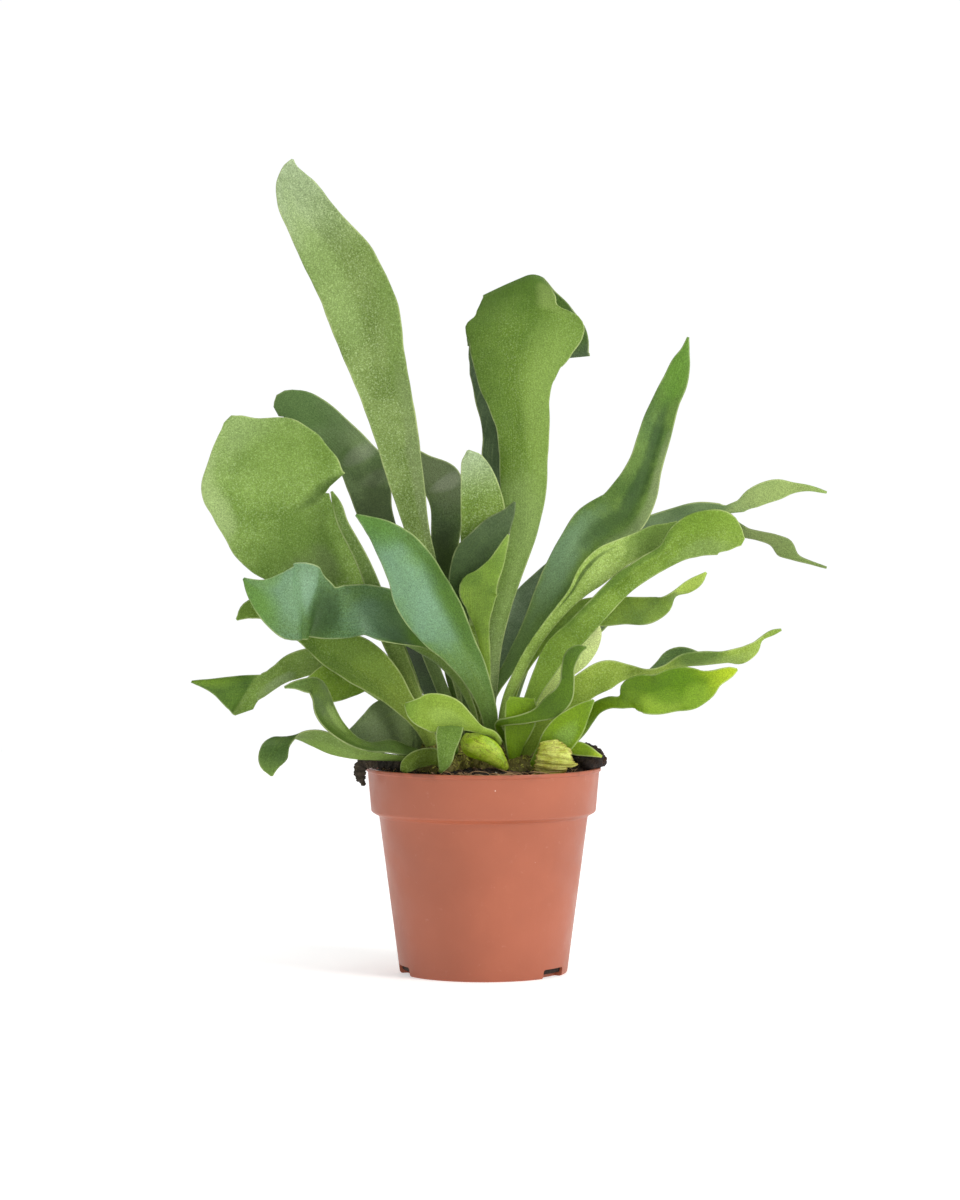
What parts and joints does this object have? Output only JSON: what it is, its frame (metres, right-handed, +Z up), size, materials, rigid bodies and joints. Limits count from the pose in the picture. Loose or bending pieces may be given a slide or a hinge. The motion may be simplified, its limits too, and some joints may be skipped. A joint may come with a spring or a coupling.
{
  "type": "potted staghorn fern",
  "caption": "Staghorn fern with long strap-shaped, hooded and forked fronds, growing in a terracotta-coloured plastic nursery pot of soil.",
  "frame": {"origin": "centre of the pot's flat underside, on the surface it stands on", "axes": "+Z up along the pot's axis, -Y towards the viewer of the picture, +X to the right in the picture"},
  "size_m": [0.3292, 0.2042, 0.411],
  "materials": {
    "pot": "satin",
    "soil": "matte",
    "rhizome": "matte",
    "frond_upper_teal": "satin",
    "frond_upper_dark": "satin",
    "frond_upper_green": "satin",
    "frond_upper_bright": "satin",
    "frond_underside_pale": "matte",
    "frond_underside_green": "matte",
    "frond_young": "satin",
    "shield_dry": "matte",
    "leaf_dead": "matte"
  },
  "bodies": {
    "root": {"pot": "pot", "soil": "soil", "rhizome": "rhizome", "frond_tall": "frond_underside_pale", "frond_hooded": "frond_underside_green", "frond_pale_tip": "frond_young", "frond_young_centre": "frond_upper_bright", "frond_small_dark": "frond_upper_dark", "frond_dark_left": "frond_upper_dark", "frond_dark_middle": "frond_upper_dark", "frond_broad_left": "frond_underside_pale", "frond_narrow_left": "frond_underside_green", "frond_teal_front": "frond_upper_teal", "frond_teal_side": "frond_upper_teal", "frond_strap_left": "frond_underside_green", "frond_twisted_left": "frond_underside_green", "frond_short_left": "frond_underside_green", "frond_curled_left": "frond_upper_green", "frond_low_left": "frond_underside_green", "frond_grey_left": "frond_upper_dark", "frond_young_pale": "frond_young", "frond_young_hanging": "frond_upper_green", "shield_front": "frond_young", "frond_tiny_arched": "frond_young", "shield_dry": "shield_dry", "frond_upright_right": "frond_upper_teal", "frond_shade_right": "frond_upper_dark", "frond_folded_right": "frond_underside_pale", "frond_broad_right": "frond_underside_green", "frond_forked_right": "frond_upper_dark", "frond_strap_right": "frond_upper_green", "frond_pale_right": "frond_young", "frond_funnel": "frond_upper_bright", "frond_hook_right": "frond_upper_dark", "frond_long_right": "frond_underside_green", "frond_bright_right": "frond_upper_bright", "frond_short_right": "frond_upper_green", "frond_rim_right": "frond_upper_bright", "leaf_dead": "leaf_dead", "frond_back_left": "frond_upper_green", "frond_back_middle": "frond_upper_teal", "frond_back_right": "frond_upper_green", "frond_back_low": "frond_underside_green", "shield_back": "shield_dry"}
  },
  "joints": []
}
